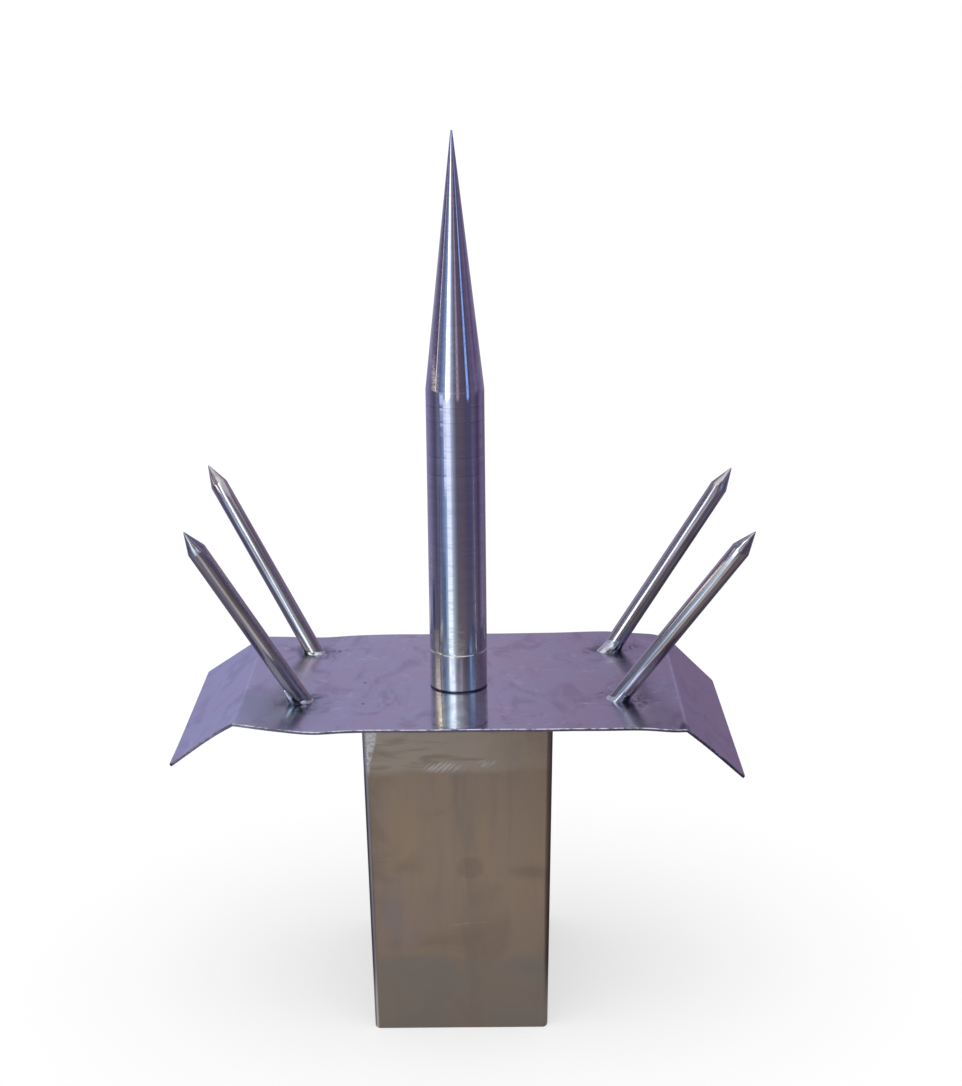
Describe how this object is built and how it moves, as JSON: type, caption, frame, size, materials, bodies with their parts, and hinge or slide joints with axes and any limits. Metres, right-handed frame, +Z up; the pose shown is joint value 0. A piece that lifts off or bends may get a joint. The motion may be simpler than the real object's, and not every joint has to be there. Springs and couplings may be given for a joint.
{
  "type": "lightning rod",
  "caption": "Turned steel spike and pointed side rods on a folded sheet cover, carried by a rectangular tube that slips over a post to catch lightning.",
  "frame": {"origin": "centre of the tube's open foot, on the floor under the spike's axis", "axes": "+Z up along the spike to its point, -Y towards the front face of the tube, +X to the right"},
  "size_m": [0.2447, 0.135, 0.3772],
  "materials": {
    "turned_steel": "bright turned steel with fine lathe rings",
    "rod_steel": "bright drawn steel",
    "fastener_steel": "plain bright steel",
    "cover_sheet": "dull mill-finish sheet with smears and scratches",
    "tube_steel": "satin sheet with smudges and rub marks",
    "weld_metal": "rough weld bead, silvery with dark burns"
  },
  "bodies": {
    "root": {"centre_spike": "turned_steel", "spike_collar": "turned_steel", "spike_stud": "fastener_steel", "stud_washer": "fastener_steel", "stud_nut": "fastener_steel", "cover_plate": "cover_sheet", "rod_front_left": "rod_steel", "rod_front_right": "rod_steel", "rod_back_left": "rod_steel", "rod_back_right": "rod_steel", "weld_front_left": "weld_metal", "weld_front_right": "weld_metal", "weld_back_left": "weld_metal", "weld_back_right": "weld_metal", "mount_tube": "tube_steel", "tube_weld_left": "weld_metal", "tube_weld_right": "weld_metal", "tube_weld_back": "weld_metal"}
  },
  "joints": []
}
